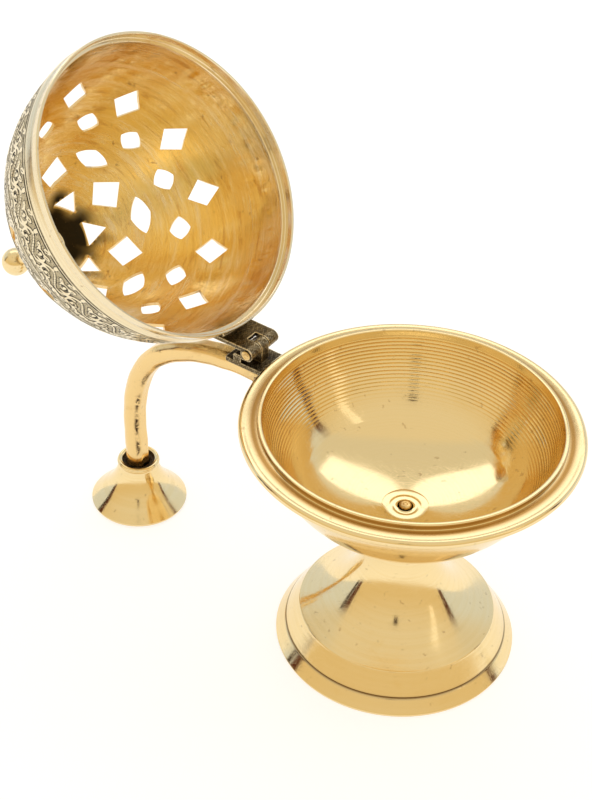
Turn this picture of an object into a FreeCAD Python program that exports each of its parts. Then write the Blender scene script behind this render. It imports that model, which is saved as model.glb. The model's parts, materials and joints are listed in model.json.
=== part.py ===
"""Brass incense burner: a pedestal bowl with a hinged, pierced dome lid, and a
curved handle that ends in a small bell foot. The lid is drawn open, on its stop.

Units are millimetres. The origin is the centre of the pedestal's base, +Z is up,
and the handle and hinge stand on the -X side. The lid turns about a line along Y.
"""
import os
import FreeCAD, Part
from FreeCAD import Vector
from math import atan2, degrees, sqrt

# Driving dimensions
RIM_R = 50.0              # widest radius of the bowl
LEDGE_Z = 82.3            # flat ledge that the closed lid covers
LIP_TOP = 84.3            # top of the raised inner lip
LIP_OUTER_R = 44.5
LIP_INNER_R = 43.3
FLANGE_R = 1.2            # half of the flange's thickness
FLOOR_Z = 51.4            # middle of the bowl, inside
NECK_R = 8.8
NECK_TOP = 46.0           # where the bowl sits on the pedestal
FOOT_R = 37.0             # widest radius of the pedestal's skirt
SKIRT_IN_R = 34.1         # inside of the skirt, on the ground
GROOVE_R = 33.6           # bottom of the line turned round the skirt
GROOVE_Z = 5.2
SHOULDER_R = 30.2         # top of the skirt
SHOULDER_Z = 11.8
FOOT_BORE_R = 2.1
STUD_SEAT_Z = 32.0        # where the stud's head bears inside the pedestal
STUD_R = 1.9
BOWL_HOLE_R = 2.4
RECESS_R = 7.0            # turned recess in the middle of the bowl's floor
STUD_HEAD_R = 4.2
STUD_TOP = 52.4

HINGE_X = -54.5
HINGE_Z = 85.8
OPEN_ANGLE = 129.9        # from closed to open, in degrees
LID_RIM_Z = 82.6          # lower edge of the closed lid
LID_R = 46.3
LID_WALL = 1.4
REBATE_R = 45.35
REBATE_DEEP = 3.2
RIM_BAND = 6.0            # plain band above the lid's edge
CROWN_LOW = 66.0          # underside of the thick crown, above the lid's edge
CROWN_R = 4.6
CROWN_THICK = 1.6
CROWN_BORE_R = 2.15
FINIAL_BALL_R = 4.6
FINIAL_BALL_H = 85.8      # middle of the ball, above the lid's edge
FINIAL_STEM_R = 2.0
FINIAL_COLLAR_R = 5.0
FINIAL_COLLAR = 1.2
TAIL_R = 3.4              # peened end of the finial, inside the dome
TAIL_LOW = 63.0
TAIL_HIGH = 64.8

PIN_R = 1.1
PIN_HALF = 7.2
KNUCKLE_R = 2.2
KNUCKLE_BORE_R = 1.15
LEAF_HALF = 6.6           # half of the hinge's width
MIDDLE_HALF = 1.7         # half of the fixed knuckle's width
SIDE_GAP = 0.35           # between neighbouring knuckles
LEAF_THICK = 1.4
LEAF_LONG = 12.5
TAIL_LONG = 4.4
FOOT_THICK = 1.2          # foot of the lid's leaf, along the dome
FOOT_LOW = 8.0
FOOT_TALL = 8.5
LEAF_BASE_Z = 79.5        # top of the handle's root
BASE_TOP = 81.1
BASE_HALF = 5.6
BASE_BACK = 8.5           # how far the fixed leaf reaches behind the pin
SHOULDER_BACK = 5.6       # stop shoulders, from and to behind the pin
SHOULDER_FRONT = 2.8
SHOULDER_IN = 2.1
STOP_GAP = 0.3            # left under the tails of the open leaf
PIN_HEAD_R = 1.5

ROD_R = 3.7
ROD_FLAT = 3.35           # half of the rod's thickness across its two flats
BELL_X = -103.0
BELL_R = 15.9
BELL_TOP = 17.2
BELL_TOP_R = 7.0
SOCKET_R = 5.3
SOCKET_FLOOR = 14.4
ROD_END = 6.2
SOCKET_BORE_R = 3.8       # drilled under the socket for the rod
SOCKET_BORE_Z = 6.0
PACKING_TALL = 1.4
BRAZE_SIZE = (8.0, 5.6, 5.2)
BRAZE_AT = (-48.5, 0.0, 74.6)

# Outlines as (radius or x, height) points
FOOT_FLARE = [(29.8, 12.15), (24.6, 15.4), (19.0, 20.0), (14.1, 26.4), (10.6, 34.6), (NECK_R, NECK_TOP)]
FOOT_HOLLOW = [(8.0, 30.0), (10.4, 24.5), (15.2, 17.6), (22.0, 12.8), (29.2, 10.2)]
BOWL_INSIDE = [(7.0, 51.8), (18.5, 54.4), (30.5, 60.2), (37.4, 68.4), (41.4, 76.5), (LIP_INNER_R, 83.9)]
BOWL_OUTSIDE = [(45.4, 79.7), (43.4, 75.4), (39.2, 67.2), (32.0, 58.2), (20.5, 50.8), (10.5, 47.2)]
BELL_FLARE = [(BELL_R, 1.0), (13.6, 3.4), (10.2, 7.2), (7.5, 12.0), (6.5, 15.2)]
DOME_INSIDE = [
    (44.1, 5.0), (43.5, 12.0), (41.5, 20.0), (36.5, 30.5),
    (31.0, 38.4), (23.7, 47.0), (12.0, 58.3), (5.4, 65.0),
]
ROD_ROUTE = [
    (-40.0, 74.6), (-50.0, 75.8), (-61.0, 76.2), (-72.0, 74.7), (-84.0, 70.4),
    (-94.5, 63.0), (-101.4, 51.0), (-103.9, 37.0), (-103.6, 24.0), (BELL_X, ROD_END),
]

UP = Vector(0, 0, 1)
ALONG_Y = Vector(0, 1, 0)


def at(x, y, z):
    return Vector(x, y, z)


def curve(points):
    """A smooth curve through (radius, height) points."""
    spline = Part.BSplineCurve()
    spline.interpolate([at(r, 0, z) for r, z in points])
    return spline.toShape()


def line(a, b):
    return Part.makeLine(at(a[0], 0, a[1]), at(b[0], 0, b[1]))


def turned(edges):
    """Solid of revolution about the Z axis from a closed outline."""
    face = Part.Face(Part.Wire(edges))
    return face.revolve(at(0, 0, 0), UP, 360)


def outline(*pieces):
    """Edges joining the pieces end to end: a list of points is a curve, a pair a line."""
    edges = []
    for index, piece in enumerate(pieces):
        edges.append(curve(piece) if len(piece) > 2 else line(*piece))
        end = piece[-1]
        start = pieces[(index + 1) % len(pieces)][0]
        if sqrt((end[0] - start[0]) ** 2 + (end[1] - start[1]) ** 2) > 1e-6:
            edges.append(line(end, start))
    return edges


def rod_y(x, z, radius, y0, y1):
    """Cylinder along Y."""
    return Part.makeCylinder(radius, y1 - y0, at(x, y0, z), ALONG_Y)


def block(x0, x1, y0, y1, z0, z1):
    return Part.makeBox(x1 - x0, y1 - y0, z1 - z0, at(x0, y0, z0))


def opened(shape):
    """Turn a piece of the closed lid to the open position it is drawn in."""
    moved = shape.copy()
    moved.rotate(at(HINGE_X, 0, HINGE_Z), ALONG_Y, -OPEN_ANGLE)
    return moved


def pedestal_foot():
    """Hollow trumpet foot with a banded skirt and a drilled neck."""
    edges = outline(
        [(SKIRT_IN_R, 0.0), (FOOT_R - 0.4, 0.0)],
        [(FOOT_R, 1.0), (GROOVE_R + 0.6, GROOVE_Z - 0.3)],
        [(GROOVE_R + 0.6, GROOVE_Z - 0.3), (GROOVE_R, GROOVE_Z)],
        [(GROOVE_R + 0.3, GROOVE_Z + 0.3), (SHOULDER_R, SHOULDER_Z)],
        FOOT_FLARE,
        [(FOOT_BORE_R, NECK_TOP), (FOOT_BORE_R, STUD_SEAT_Z)],
        [(6.5, STUD_SEAT_Z), FOOT_HOLLOW[0]],
        FOOT_HOLLOW,
    )
    return turned(edges)


def flange_edges():
    """Rounded edge of the bowl's flange and the step back to the bowl's wall."""
    tip = RIM_R - FLANGE_R
    low = LEDGE_Z - 2 * FLANGE_R
    rounded = Part.Arc(at(tip, 0, LEDGE_Z), at(RIM_R, 0, LEDGE_Z - FLANGE_R), at(tip, 0, low))
    return [rounded.toShape(), line((tip, low), BOWL_OUTSIDE[0]), curve(BOWL_OUTSIDE)]


def bowl():
    """Turned bowl with a rounded flange, a flat ledge and a raised lip."""
    edges = [
        line((BOWL_HOLE_R, FLOOR_Z), (RECESS_R, FLOOR_Z)),
        line((RECESS_R, FLOOR_Z), BOWL_INSIDE[0]),
        curve(BOWL_INSIDE),
        line(BOWL_INSIDE[-1], (LIP_INNER_R + 0.4, LIP_TOP)),
        line((LIP_INNER_R + 0.4, LIP_TOP), (LIP_OUTER_R - 0.3, LIP_TOP)),
        line((LIP_OUTER_R - 0.3, LIP_TOP), (LIP_OUTER_R, LIP_TOP - 0.3)),
        line((LIP_OUTER_R, LIP_TOP - 0.3), (LIP_OUTER_R, LEDGE_Z)),
        line((LIP_OUTER_R, LEDGE_Z), (RIM_R - FLANGE_R, LEDGE_Z)),
        *flange_edges(),
        line(BOWL_OUTSIDE[-1], (NECK_R, NECK_TOP)),
        line((NECK_R, NECK_TOP), (BOWL_HOLE_R, NECK_TOP)),
        line((BOWL_HOLE_R, NECK_TOP), (BOWL_HOLE_R, FLOOR_Z)),
    ]
    return turned(edges)


def centre_stud():
    """Stud through the bowl and the neck, peened over a washer face under the neck."""
    edges = outline(
        [(0.0, STUD_SEAT_Z - 3.0), (STUD_HEAD_R - 0.6, STUD_SEAT_Z - 3.0)],
        [(STUD_HEAD_R, STUD_SEAT_Z - 2.0), (STUD_HEAD_R, STUD_SEAT_Z)],
        [(STUD_R, STUD_SEAT_Z), (STUD_R, STUD_TOP - 0.5)],
        [(STUD_R - 0.4, STUD_TOP - 0.1), (0.0, STUD_TOP)],
    )
    return turned(edges)


def handle_path():
    """Route of the handle's middle line, from the rim to the bell foot."""
    spline = Part.BSplineCurve()
    spline.interpolate([at(x, 0, z) for x, z in ROD_ROUTE])
    return Part.Wire([spline.toShape()]), spline


def bowl_envelope():
    """The bowl without its hollow, to fit what is joined to its outside."""
    edges = [
        line((0.0, LEDGE_Z), (RIM_R - FLANGE_R, LEDGE_Z)),
        *flange_edges(),
        line(BOWL_OUTSIDE[-1], (NECK_R, NECK_TOP)),
        line((NECK_R, NECK_TOP), (0.0, NECK_TOP)),
        line((0.0, NECK_TOP), (0.0, LEDGE_Z)),
    ]
    return turned(edges)


def full_rod():
    """Bent cast rod with two filed flats, one along the outside and one along the inside."""
    path, spline = handle_path()
    start = spline.value(spline.FirstParameter)
    tangent = spline.tangent(spline.FirstParameter)[0]
    disc = Part.Face(Part.Wire(Part.makeCircle(ROD_R, at(0, 0, 0), UP)))
    slab = Part.makeBox(2 * ROD_FLAT, 2 * ROD_R, 2.0, at(-ROD_FLAT, -ROD_R, -1.0))
    section = disc.common(slab).Faces[0].OuterWire
    lean = atan2(tangent.x, tangent.z)
    section.rotate(at(0, 0, 0), ALONG_Y, degrees(lean))
    section.translate(start)
    sweep = Part.BRepOffsetAPI.MakePipeShell(path)
    sweep.setBiNormalMode(ALONG_Y)
    sweep.add(section, False, False)
    sweep.build()
    sweep.makeSolid()
    return sweep.shape()


def handle_rod():
    return full_rod().cut(bowl_envelope())


def handle_brazing():
    """Lump of brazing that joins the rod to the underside of the rim."""
    squash = FreeCAD.Matrix()
    squash.scale(*BRAZE_SIZE)
    lump = Part.makeSphere(1.0).transformGeometry(squash)
    lump.translate(at(*BRAZE_AT))
    above = block(-70, -30, -20, 20, LEAF_BASE_Z, LEAF_BASE_Z + 10)
    return lump.cut([bowl_envelope(), full_rod(), above])


def bell_foot():
    """Small trumpet bell under the handle, with a socket for the rod."""
    edges = outline(
        [(0.0, 0.0), (BELL_R - 0.5, 0.0)],
        BELL_FLARE,
        [(BELL_TOP_R - 0.2, BELL_TOP - 1.6), (BELL_TOP_R, BELL_TOP - 1.0)],
        [(BELL_TOP_R, BELL_TOP - 0.4), (BELL_TOP_R - 0.4, BELL_TOP)],
        [(SOCKET_R, BELL_TOP), (SOCKET_R, SOCKET_FLOOR)],
        [(SOCKET_BORE_R, SOCKET_FLOOR), (SOCKET_BORE_R, SOCKET_BORE_Z)],
        [(0.0, SOCKET_BORE_Z), (0.0, 0.0)],
    )
    bell = turned(edges)
    bell.translate(at(BELL_X, 0, 0))
    return bell


def offset_points(points, distance):
    """The same outline moved outward along its normals."""
    spline = Part.BSplineCurve()
    spline.interpolate([at(r, 0, z) for r, z in points])
    moved = []
    for r, z in points:
        parameter = spline.parameter(at(r, 0, z))
        direction = spline.tangent(parameter)[0]
        moved.append((r + direction.z * distance, z - direction.x * distance))
    return moved


def dome_blank():
    """Dome before piercing, closed, with the lid's edge at height 0."""
    outside = [(LID_R, RIM_BAND)] + offset_points(DOME_INSIDE, LID_WALL)[2:]
    top = outside[-1]
    edges = outline(
        [(REBATE_R, 0.0), (LID_R, 0.0)],
        outside,
        [(CROWN_R, top[1] + CROWN_THICK), (CROWN_BORE_R, top[1] + CROWN_THICK)],
        [(CROWN_BORE_R, CROWN_LOW), DOME_INSIDE[-1]],
        list(reversed(DOME_INSIDE)),
        [(DOME_INSIDE[0][0], REBATE_DEEP), (REBATE_R, REBATE_DEEP)],
    )
    return turned(edges)


def kite(half, out, inn):
    return [(half, 0.3), (0.0, out), (-half, 0.3), (0.0, -inn)]


# Ring of holes: radius, height, lean of the wall, count, first angle, outline, curved sides
PATTERN_TURN = -14.0
HOLE_RINGS = [
    (37.6, 31.2, 36.0, 12, 0.0, kite(4.5, 5.6, 4.6), False),
    (32.0, 39.2, 42.0, 12, 15.0, [(3.9, 0.3), (0.0, 3.6), (-3.9, 0.3), (0.0, -3.2)], True),
    (24.7, 47.9, 47.0, 6, 0.0, [(5.9, 0.4), (0.0, 3.6), (-5.9, 0.4), (0.0, -3.2)], True),
    (19.8, 52.6, 47.0, 6, 30.0, kite(5.3, 6.3, 5.0), False),
    (12.9, 59.2, 46.0, 6, 0.0, [(4.0, -2.0), (0.0, 4.6), (-4.0, -2.0)], False),
]
PUNCH_HALF = 6.0          # how far a punch reaches each side of the wall's middle
BOW = 1.18                # how far a curved side stands out past its straight middle


def hole_cutter(radius, height, lean, corners, curved):
    """Punch standing square to the dome's wall: +X of the outline is around, +Y is down the wall."""
    points = [at(x, -y, 0) for x, y in corners]
    edges = []
    for index, point in enumerate(points):
        following = points[(index + 1) % len(points)]
        if curved:
            middle = (point + following) * 0.5 * BOW
            edges.append(Part.Arc(point, middle, following).toShape())
        else:
            edges.append(Part.makeLine(point, following))
    punch = Part.Face(Part.Wire(edges)).extrude(at(0, 0, 2 * PUNCH_HALF))
    punch.translate(at(0, 0, -PUNCH_HALF))
    punch.rotate(at(0, 0, 0), UP, 90)
    punch.rotate(at(0, 0, 0), ALONG_Y, 90 - lean)
    punch.translate(at(radius, 0, height))
    return punch


def lid_dome():
    """Ogee dome with its pierced rings, a plain band and a stepped edge."""
    cutters = []
    for radius, height, lean, count, first, corners, curved in HOLE_RINGS:
        for index in range(count):
            cutter = hole_cutter(radius, height, lean, corners, curved)
            cutter.rotate(at(0, 0, 0), UP, first + PATTERN_TURN + index * 360.0 / count)
            cutters.append(cutter)
    dome = dome_blank().cut(cutters)
    dome.translate(at(0, 0, LID_RIM_Z))
    return opened(dome)


def finial():
    """Ball on a collared neck, with a tail that is peened inside the crown."""
    seat = offset_points(DOME_INSIDE, LID_WALL)[-1][1] + CROWN_THICK
    ball_low = FINIAL_BALL_H - sqrt(FINIAL_BALL_R ** 2 - FINIAL_STEM_R ** 2)
    ball_top = FINIAL_BALL_H + FINIAL_BALL_R
    side = at(FINIAL_BALL_R, 0, FINIAL_BALL_H)
    ball = Part.Arc(at(FINIAL_STEM_R, 0, ball_low), side, at(0, 0, ball_top))
    collar_top = seat + FINIAL_COLLAR
    neck = [(FINIAL_COLLAR_R, collar_top), (3.2, seat + 2.6), (2.2, seat + 5.6), (FINIAL_STEM_R, ball_low)]
    edges = [
        line((0, TAIL_LOW), (TAIL_R, TAIL_LOW)),
        line((TAIL_R, TAIL_LOW), (TAIL_R, TAIL_HIGH)),
        line((TAIL_R, TAIL_HIGH), (FINIAL_STEM_R, CROWN_LOW - 0.2)),
        line((FINIAL_STEM_R, CROWN_LOW - 0.2), (FINIAL_STEM_R, seat)),
        line((FINIAL_STEM_R, seat), (FINIAL_COLLAR_R, seat)),
        line((FINIAL_COLLAR_R, seat), neck[0]),
        curve(neck),
        ball.toShape(),
        line((0, ball_top), (0, TAIL_LOW)),
    ]
    knob = turned(edges)
    knob.translate(at(0, 0, LID_RIM_Z))
    return opened(knob)


def dome_envelope(extra):
    """The closed dome without its hollow, grown by a thickness."""
    grown = [(LID_R + extra, RIM_BAND)] + offset_points(DOME_INSIDE, LID_WALL + extra)[2:]
    top = grown[-1][1]
    edges = outline([(0.0, 0.0), (LID_R + extra, 0.0)], grown, [(0.0, top), (0.0, 0.0)])
    solid = turned(edges)
    solid.translate(at(0, 0, LID_RIM_Z))
    return solid


def hinge_lid_leaf():
    """Rolled leaf: a strap over two knuckles, with a foot that lies along the dome."""
    top = HINGE_Z + KNUCKLE_R
    notch_half = MIDDLE_HALF + SIDE_GAP
    leaf = block(HINGE_X - LEAF_LONG, HINGE_X, -LEAF_HALF, LEAF_HALF, top - LEAF_THICK, top)
    notch = block(HINGE_X - KNUCKLE_R - 0.8, HINGE_X + 1, -notch_half, notch_half, HINGE_Z, top + 1)
    leaf = leaf.cut(notch)
    for y0, y1 in ((-LEAF_HALF, -notch_half), (notch_half, LEAF_HALF)):
        knuckle = rod_y(HINGE_X, HINGE_Z, KNUCKLE_R, y0, y1)
        tail_low = HINGE_Z - KNUCKLE_R
        tail = block(HINGE_X - TAIL_LONG, HINGE_X, y0, y1, tail_low, tail_low + 1.1)
        leaf = leaf.fuse([knuckle, tail])
    dome = dome_envelope(0.0)
    foot = dome_envelope(FOOT_THICK).cut(dome)
    low = LID_RIM_Z + FOOT_LOW
    window = block(-60, 0, -LEAF_HALF + 0.6, LEAF_HALF - 0.6, low, low + FOOT_TALL)
    leaf = leaf.cut(opened(dome)).fuse(opened(foot.common(window)))
    bore = rod_y(HINGE_X, HINGE_Z, KNUCKLE_BORE_R, -LEAF_HALF - 1, LEAF_HALF + 1)
    return leaf.cut(bore).removeSplitter()


def hinge_bowl_leaf():
    """Fixed leaf brazed on the handle's root: a base, one knuckle and two stop shoulders."""
    base = block(HINGE_X - BASE_BACK, -RIM_R + 2, -BASE_HALF, BASE_HALF, LEAF_BASE_Z, BASE_TOP)
    knuckle = rod_y(HINGE_X, HINGE_Z, KNUCKLE_R, -MIDDLE_HALF, MIDDLE_HALF)
    web_x = HINGE_X - KNUCKLE_R
    web = block(web_x, web_x + 2 * KNUCKLE_R, -MIDDLE_HALF, MIDDLE_HALF, LEAF_BASE_Z, HINGE_Z)
    leaf = base.fuse([knuckle, web])
    shoulder_top = HINGE_Z - KNUCKLE_R - STOP_GAP
    for y0, y1 in ((-BASE_HALF, -SHOULDER_IN), (SHOULDER_IN, BASE_HALF)):
        shoulder = block(HINGE_X - SHOULDER_BACK, HINGE_X - SHOULDER_FRONT, y0, y1, LEAF_BASE_Z, shoulder_top)
        leaf = leaf.fuse(shoulder)
    bore = rod_y(HINGE_X, HINGE_Z, PIN_R, -MIDDLE_HALF - 1, MIDDLE_HALF + 1)
    return leaf.cut([bore, bowl_envelope(), full_rod()]).removeSplitter()


def hinge_pin():
    """Pin pressed in the fixed knuckle, with both ends peened over."""
    pin = rod_y(HINGE_X, HINGE_Z, PIN_R, -PIN_HALF, PIN_HALF)
    head = PIN_HALF - LEAF_HALF - 0.15
    near = rod_y(HINGE_X, HINGE_Z, PIN_HEAD_R, -PIN_HALF, -PIN_HALF + head)
    far = rod_y(HINGE_X, HINGE_Z, PIN_HEAD_R, PIN_HALF - head, PIN_HALF)
    return pin.fuse([near, far]).removeSplitter()


def bell_packing():
    """Ring of dark solder that fills the bell's socket around the rod."""
    ring = Part.makeCylinder(SOCKET_R - 0.02, PACKING_TALL, at(BELL_X, 0, SOCKET_FLOOR), UP)
    return ring.cut(full_rod())


NODES = {
    "pedestal_foot": pedestal_foot,
    "bowl": bowl,
    "centre_stud": centre_stud,
    "handle_rod": handle_rod,
    "handle_brazing": handle_brazing,
    "bell_foot": bell_foot,
    "bell_packing": bell_packing,
    "lid_dome": lid_dome,
    "finial": finial,
    "hinge_lid_leaf": hinge_lid_leaf,
    "hinge_bowl_leaf": hinge_bowl_leaf,
    "hinge_pin": hinge_pin,
}

if __name__ == "__main__":
    os.makedirs("parts", exist_ok=True)
    for node, make in NODES.items():
        shape = make()
        shape.exportStep("parts/" + node + ".step")
        print(node, shape.isValid(), len(shape.Solids), round(shape.Volume, 1))
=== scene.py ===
"""Brass incense burner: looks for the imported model.

Each piece that the CAD turned, bent or rolled is made again here with its fine detail:
turning lines in the bowl, an engraved and pierced dome, a filed rod and a worn hinge.
Lengths in the tables below are millimetres; MM turns them into the frame's metres.
"""
import bmesh
import bpy
import json
import numpy as np
from bpy.props import FloatProperty, FloatVectorProperty, PointerProperty
from contextlib import contextmanager
from math import cos, pi, radians, sin
from mathutils import Matrix, Vector


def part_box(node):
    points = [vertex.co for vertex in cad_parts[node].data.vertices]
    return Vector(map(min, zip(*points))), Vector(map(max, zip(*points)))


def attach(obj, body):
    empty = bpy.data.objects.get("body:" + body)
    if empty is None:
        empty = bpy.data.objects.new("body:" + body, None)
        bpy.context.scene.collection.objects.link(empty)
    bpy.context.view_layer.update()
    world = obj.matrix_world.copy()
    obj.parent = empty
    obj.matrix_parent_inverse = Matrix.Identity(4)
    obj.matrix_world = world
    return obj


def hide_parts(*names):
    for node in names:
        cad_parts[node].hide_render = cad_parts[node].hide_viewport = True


bl_info = {
    "name": "Brass incense burner",
    "version": (1, 0, 0),
    "blender": (4, 5, 0),
    "location": "3D View > Sidebar > Burner",
    "description": "Builds a brass incense burner with a pierced, engraved lid on its packed frame",
    "category": "Add Mesh",
}

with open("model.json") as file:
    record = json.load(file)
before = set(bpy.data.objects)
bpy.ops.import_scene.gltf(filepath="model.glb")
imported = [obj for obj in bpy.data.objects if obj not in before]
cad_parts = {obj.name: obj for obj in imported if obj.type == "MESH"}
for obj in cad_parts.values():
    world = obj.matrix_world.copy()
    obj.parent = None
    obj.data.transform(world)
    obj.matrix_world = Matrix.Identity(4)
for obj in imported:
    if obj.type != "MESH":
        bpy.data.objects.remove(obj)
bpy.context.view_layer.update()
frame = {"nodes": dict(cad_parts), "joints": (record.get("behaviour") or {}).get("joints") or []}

MM = 0.001
SAME_POINT = 2e-6
HINGE = frame["joints"][0]
HINGE_POINT = np.array(HINGE["pos_m"]) / MM
LID_OPEN = radians(max(HINGE["range_deg"]))
BELL_LOW, BELL_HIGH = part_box("bell_foot")
BELL_X = (BELL_LOW[0] + BELL_HIGH[0]) / 2 / MM
LID_EDGE = 82.6

BOWL_INSIDE = [(7.0, 51.8), (18.5, 54.4), (30.5, 60.2), (37.4, 68.4), (41.4, 76.5), (43.3, 83.9)]
BOWL_OUTSIDE = [(45.4, 79.7), (43.4, 75.4), (39.2, 67.2), (32.0, 58.2), (20.5, 50.8), (10.5, 47.2)]
FOOT_FLARE = [(29.8, 12.15), (24.6, 15.4), (19.0, 20.0), (14.1, 26.4), (10.6, 34.6), (8.8, 46.0)]
FOOT_HOLLOW = [(8.0, 30.0), (10.4, 24.5), (15.2, 17.6), (22.0, 12.8), (29.2, 10.2)]
BELL_FLARE = [(15.9, 1.0), (13.6, 3.4), (10.2, 7.2), (7.5, 12.0), (6.5, 15.2)]
DOME_INSIDE = [(44.1, 5.0), (43.5, 12.0), (41.5, 20.0), (36.5, 30.5), (31.0, 38.4), (23.7, 47.0),
               (12.0, 58.3), (5.4, 65.0)]
DOME_WALL = 1.4
LID_R = 46.3
RIM_BAND = 6.0
ROD_ROUTE = [(-40.0, 74.6), (-50.0, 75.8), (-61.0, 76.2), (-72.0, 74.7), (-84.0, 70.4), (-94.5, 63.0),
             (-101.4, 51.0), (-103.9, 37.0), (-103.6, 24.0), (-103.0, 6.2)]
ROD_R, ROD_FLAT = 3.7, 3.35
BRAZE_SIZE, BRAZE_AT = np.array([7.6, 5.2, 4.8]), np.array([-48.5, 0.0, 74.6])
LEAF_UNDER = 79.5
BALL_R, BALL_UP = 4.6, 85.8
WALL_SLOTS = (0, 1, 0, 2, 0)
INSIDE_SLOT, CUT_SLOT = 2, 3


# Shapes -----------------------------------------------------------------

def smooth(points, count):
    """A natural cubic through the points, spaced by the chord between them: the second
    differences solve a three-banded system, and each span is its own cubic."""
    p = np.array(points, float)
    t = run_length(p)
    h = np.diff(t)
    n = len(p)
    a = np.eye(n)
    b = np.zeros_like(p)
    inner = np.arange(1, n - 1)
    a[inner, inner - 1] = h[:-1]
    a[inner, inner] = 2 * (h[:-1] + h[1:])
    a[inner, inner + 1] = h[1:]
    slope = np.diff(p, axis=0) / h[:, None]
    b[1:-1] = 6 * np.diff(slope, axis=0)
    m = np.linalg.solve(a, b)
    s = np.linspace(0.0, t[-1], count)
    i = np.clip(np.searchsorted(t, s, side="right") - 1, 0, n - 2)
    u = (s - t[i])[:, None]
    v = (t[i + 1] - s)[:, None]
    hi = h[i][:, None]
    near = m[i] * v ** 3 / (6 * hi) + (p[i] / hi - m[i] * hi / 6) * v
    far = m[i + 1] * u ** 3 / (6 * hi) + (p[i + 1] / hi - m[i + 1] * hi / 6) * u
    return near + far


def arc(cx, cz, radius, start, end, count):
    """Points on a circle between two angles in degrees."""
    t = np.radians(np.linspace(start, end, count))
    return np.stack([cx + radius * np.cos(t), cz + radius * np.sin(t)], 1)


def chain(*runs):
    """Outlines joined end to end, without repeated points."""
    joined = np.concatenate([np.atleast_2d(np.array(run, float)) for run in runs])
    step = np.linalg.norm(np.diff(joined, axis=0), axis=1)
    return joined[np.concatenate([[True], step > 1e-6])]


def subdivided(points, longest):
    """The same outline with no run longer than a given length."""
    p = np.array(points, float)
    t = run_length(p)
    counts = np.ceil(np.linalg.norm(np.diff(p, axis=0), axis=1) / longest).astype(int)
    runs = [np.linspace(t[k], t[k + 1], count + 1)[:-1] for k, count in enumerate(counts)]
    return resampled(p, t, np.concatenate(runs + [[t[-1]]]))


def grid_object(name, xyz, wrap_u, wrap_v, material, uv=None, values=None, slots=None, materials=()):
    """A mesh on a grid of points. xyz is rows by columns by 3 in millimetres; a wrapped
    direction joins its last line to its first. Doubles at poles are merged."""
    rows, cols = xyz.shape[:2]
    ids = np.arange(rows * cols).reshape(rows, cols)
    below = ids if wrap_v else ids[:-1]
    above = np.roll(ids, -1, 0) if wrap_v else ids[1:]
    if wrap_u:
        right, above_right = np.roll(below, -1, 1), np.roll(above, -1, 1)
        left, above_left = below, above
    else:
        left, above_left, right, above_right = below[:, :-1], above[:, :-1], below[:, 1:], above[:, 1:]
    quads = np.stack([left, right, above_right, above_left], -1).reshape(-1, 4)
    mesh = bpy.data.meshes.new(name)
    mesh.vertices.add(rows * cols)
    moved(mesh, xyz)
    mesh.loops.add(quads.size)
    mesh.loops.foreach_set("vertex_index", quads.astype(np.int32).ravel())
    mesh.polygons.add(len(quads))
    mesh.polygons.foreach_set("loop_start", np.arange(0, quads.size, 4, dtype=np.int32))
    if slots is not None:
        face_slots = slots if wrap_v else slots[:-1]
        face_cols = cols if wrap_u else cols - 1
        mesh.polygons.foreach_set("material_index", np.repeat(face_slots, face_cols).astype(np.int32))
    if uv is not None:
        turn = np.array([uv[0, -1, 0] + uv[0, 1, 0] - 2 * uv[0, 0, 0], 0.0])
        corner_uv = uv.reshape(-1, 2)[quads]
        if wrap_u:
            last = (quads[:, 0] % cols) == cols - 1
            corner_uv[last, 1] += turn
            corner_uv[last, 2] += turn
        layer = mesh.uv_layers.new(name="around")
        layer.data.foreach_set("uv", corner_uv.astype(np.float32).ravel())
    for key, field in (values or {}).items():
        layer = mesh.attributes.new(key, "FLOAT", "POINT")
        layer.data.foreach_set("value", field.astype(np.float32).ravel())
    mesh.update(calc_edges=True)
    mesh.validate()
    for entry in materials or [material]:
        mesh.materials.append(entry)
    return finished(name, mesh)


def linked(name, data):
    """A new object in the scene."""
    obj = bpy.data.objects.new(name, data)
    bpy.context.scene.collection.objects.link(obj)
    return obj


@contextmanager
def worked(mesh):
    """A mesh opened for editing and written back."""
    work = bmesh.new()
    work.from_mesh(mesh)
    yield work
    work.to_mesh(mesh)
    work.free()


def read(mesh, field):
    """A field of a mesh's points, a row each."""
    values = np.empty(len(mesh.vertices) * 3, np.float32)
    mesh.vertices.foreach_get(field, values)
    return values.reshape(-1, 3)


def moved(mesh, points):
    """Give a mesh new points, in millimetres."""
    mesh.vertices.foreach_set("co", (points * MM).astype(np.float32).ravel())


def run_length(points):
    """Length from the first point to each point."""
    return np.concatenate([[0.0], np.cumsum(np.linalg.norm(np.diff(points, axis=0), axis=1))])


def resampled(points, length, s):
    """The outline's points at the lengths s."""
    return np.stack([np.interp(s, length, points[:, 0]), np.interp(s, length, points[:, 1])], 1)


def finished(name, mesh):
    """Merge doubles, turn the faces outwards and shade smooth up to an angle."""
    with worked(mesh) as work:
        bmesh.ops.remove_doubles(work, verts=work.verts, dist=SAME_POINT)
        bmesh.ops.recalc_face_normals(work, faces=work.faces)
    mesh.shade_smooth()
    mesh.set_sharp_from_angle(angle=radians(35))
    return linked(name, mesh)


def turned(outline, segments, centre_x=0.0):
    """Grid of an outline turned about an upright line: x = r cos a, y = r sin a."""
    a = np.linspace(0, 2 * pi, segments, endpoint=False)
    r = outline[:, 0][:, None]
    z = np.repeat(outline[:, 1][:, None], segments, 1)
    return np.stack([centre_x + r * np.cos(a), r * np.sin(a), z], -1)


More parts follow.
